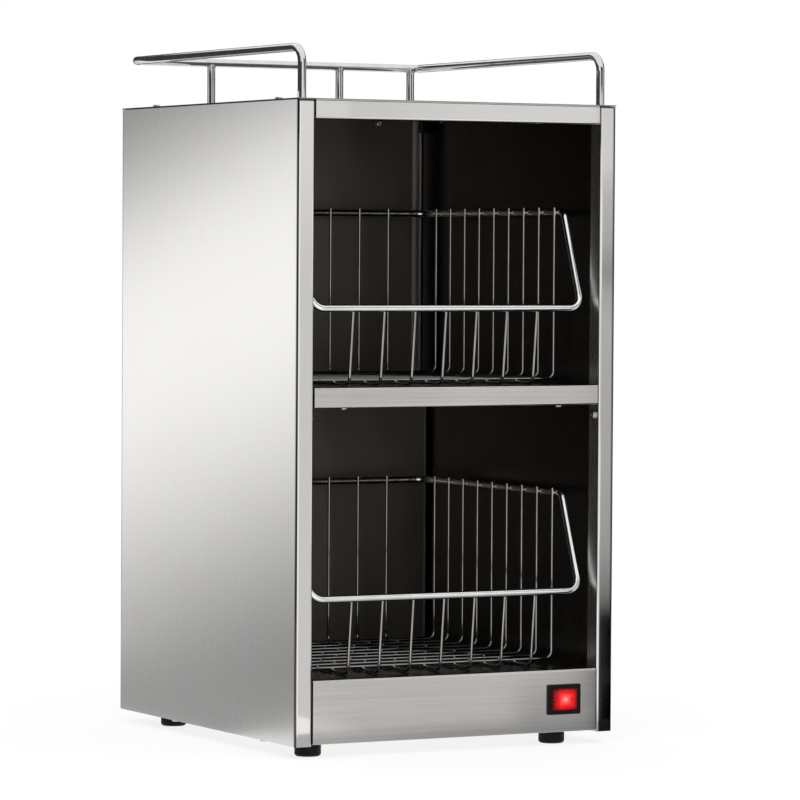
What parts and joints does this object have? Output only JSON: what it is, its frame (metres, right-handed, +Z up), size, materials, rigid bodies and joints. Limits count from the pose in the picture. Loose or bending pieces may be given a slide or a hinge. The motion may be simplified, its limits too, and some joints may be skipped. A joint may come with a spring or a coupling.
{
  "type": "cup warmer",
  "caption": "Free-standing heated cup cabinet of folded stainless sheet with heated shelves, sliding wire baskets, lit rocker switch and a gallery rail round the top.",
  "frame": {"origin": "on the surface the feet stand on, under the middle of the whole object's bounding box", "axes": "+Z up, open front with the switch towards -Y, +X to the right seen from the front"},
  "size_m": [0.3, 0.3632, 0.5839],
  "materials": {
    "case_steel": "satin stainless sheet",
    "fastener_steel": "plain",
    "rod_chrome": "polished",
    "switch_black": "satin",
    "rocker_red": "translucent gloss",
    "lamp_glass": "clear",
    "foot_rubber": "matt",
    "terminal_brass": "plain",
    "block_ceramic": "matt",
    "mat_silicone": "matt",
    "pad_wool": "mineral wool",
    "thermostat_metal": "plain",
    "lead_brown": "silicone sleeve",
    "lead_blue": "silicone sleeve",
    "lead_green": "silicone sleeve",
    "clip_nylon": "matt",
    "gland_black": "matt"
  },
  "bodies": {
    "cabinet": {"left_side_panel": "case_steel", "right_side_panel": "case_steel", "top_panel": "case_steel", "back_panel": "case_steel", "base_panel": "case_steel", "lower_shelf": "case_steel", "upper_shelf": "case_steel", "lower_duct_cover": "case_steel", "upper_duct_cover": "case_steel", "gallery_rail": "rod_chrome", "gallery_posts": "rod_chrome", "gallery_nuts": "fastener_steel", "top_panel_screws": "fastener_steel", "back_panel_screws": "fastener_steel", "base_panel_screws": "fastener_steel", "duct_cover_screws": "fastener_steel", "shelf_support_screws": "fastener_steel", "shelf_support_nuts": "fastener_steel", "rubber_feet": "foot_rubber", "foot_screws": "fastener_steel", "foot_nuts": "fastener_steel", "heater_cover_spacers": "fastener_steel", "heater_cover_screws": "fastener_steel", "switch_housing": "switch_black", "switch_lamp": "lamp_glass", "switch_blades": "terminal_brass", "crimp_terminals": "terminal_brass", "terminal_block": "block_ceramic", "terminal_screws": "fastener_steel", "cord_gland_body": "gland_black", "cord_gland_cap": "gland_black", "cord_gland_locknut": "gland_black", "earth_stud": "fastener_steel", "earth_lug": "terminal_brass", "earth_nut": "fastener_steel", "live_wires": "lead_brown", "neutral_wires": "lead_blue", "earth_wire": "lead_green", "heater_links": "lead_brown", "wire_clips": "clip_nylon", "upper_heater": "mat_silicone", "upper_insulation": "pad_wool", "upper_heater_cover": "case_steel", "upper_thermostat": "thermostat_metal", "lower_heater": "mat_silicone", "lower_insulation": "pad_wool", "lower_heater_cover": "case_steel", "lower_thermostat": "thermostat_metal"},
    "upper_basket": {"upper_basket_rim": "rod_chrome", "upper_basket_long_wires": "rod_chrome", "upper_basket_cross_wires": "rod_chrome"},
    "lower_basket": {"lower_basket_rim": "rod_chrome", "lower_basket_long_wires": "rod_chrome", "lower_basket_cross_wires": "rod_chrome"},
    "rocker": {"switch_rocker": "rocker_red"}
  },
  "joints": [
    {"name": "upper_basket_slide", "type": "slide", "parent": "cabinet", "child": "upper_basket", "axis": [0, -1, 0], "range_m": [0, 0.3]},
    {"name": "lower_basket_slide", "type": "slide", "parent": "cabinet", "child": "lower_basket", "axis": [0, -1, 0], "range_m": [0, 0.3]},
    {"name": "switch_rocker_hinge", "type": "hinge", "parent": "cabinet", "child": "rocker", "pos_m": [0.10265, -0.17389, 0.03885], "axis": [0, 0, -1], "range_deg": [0, 20]}
  ]
}
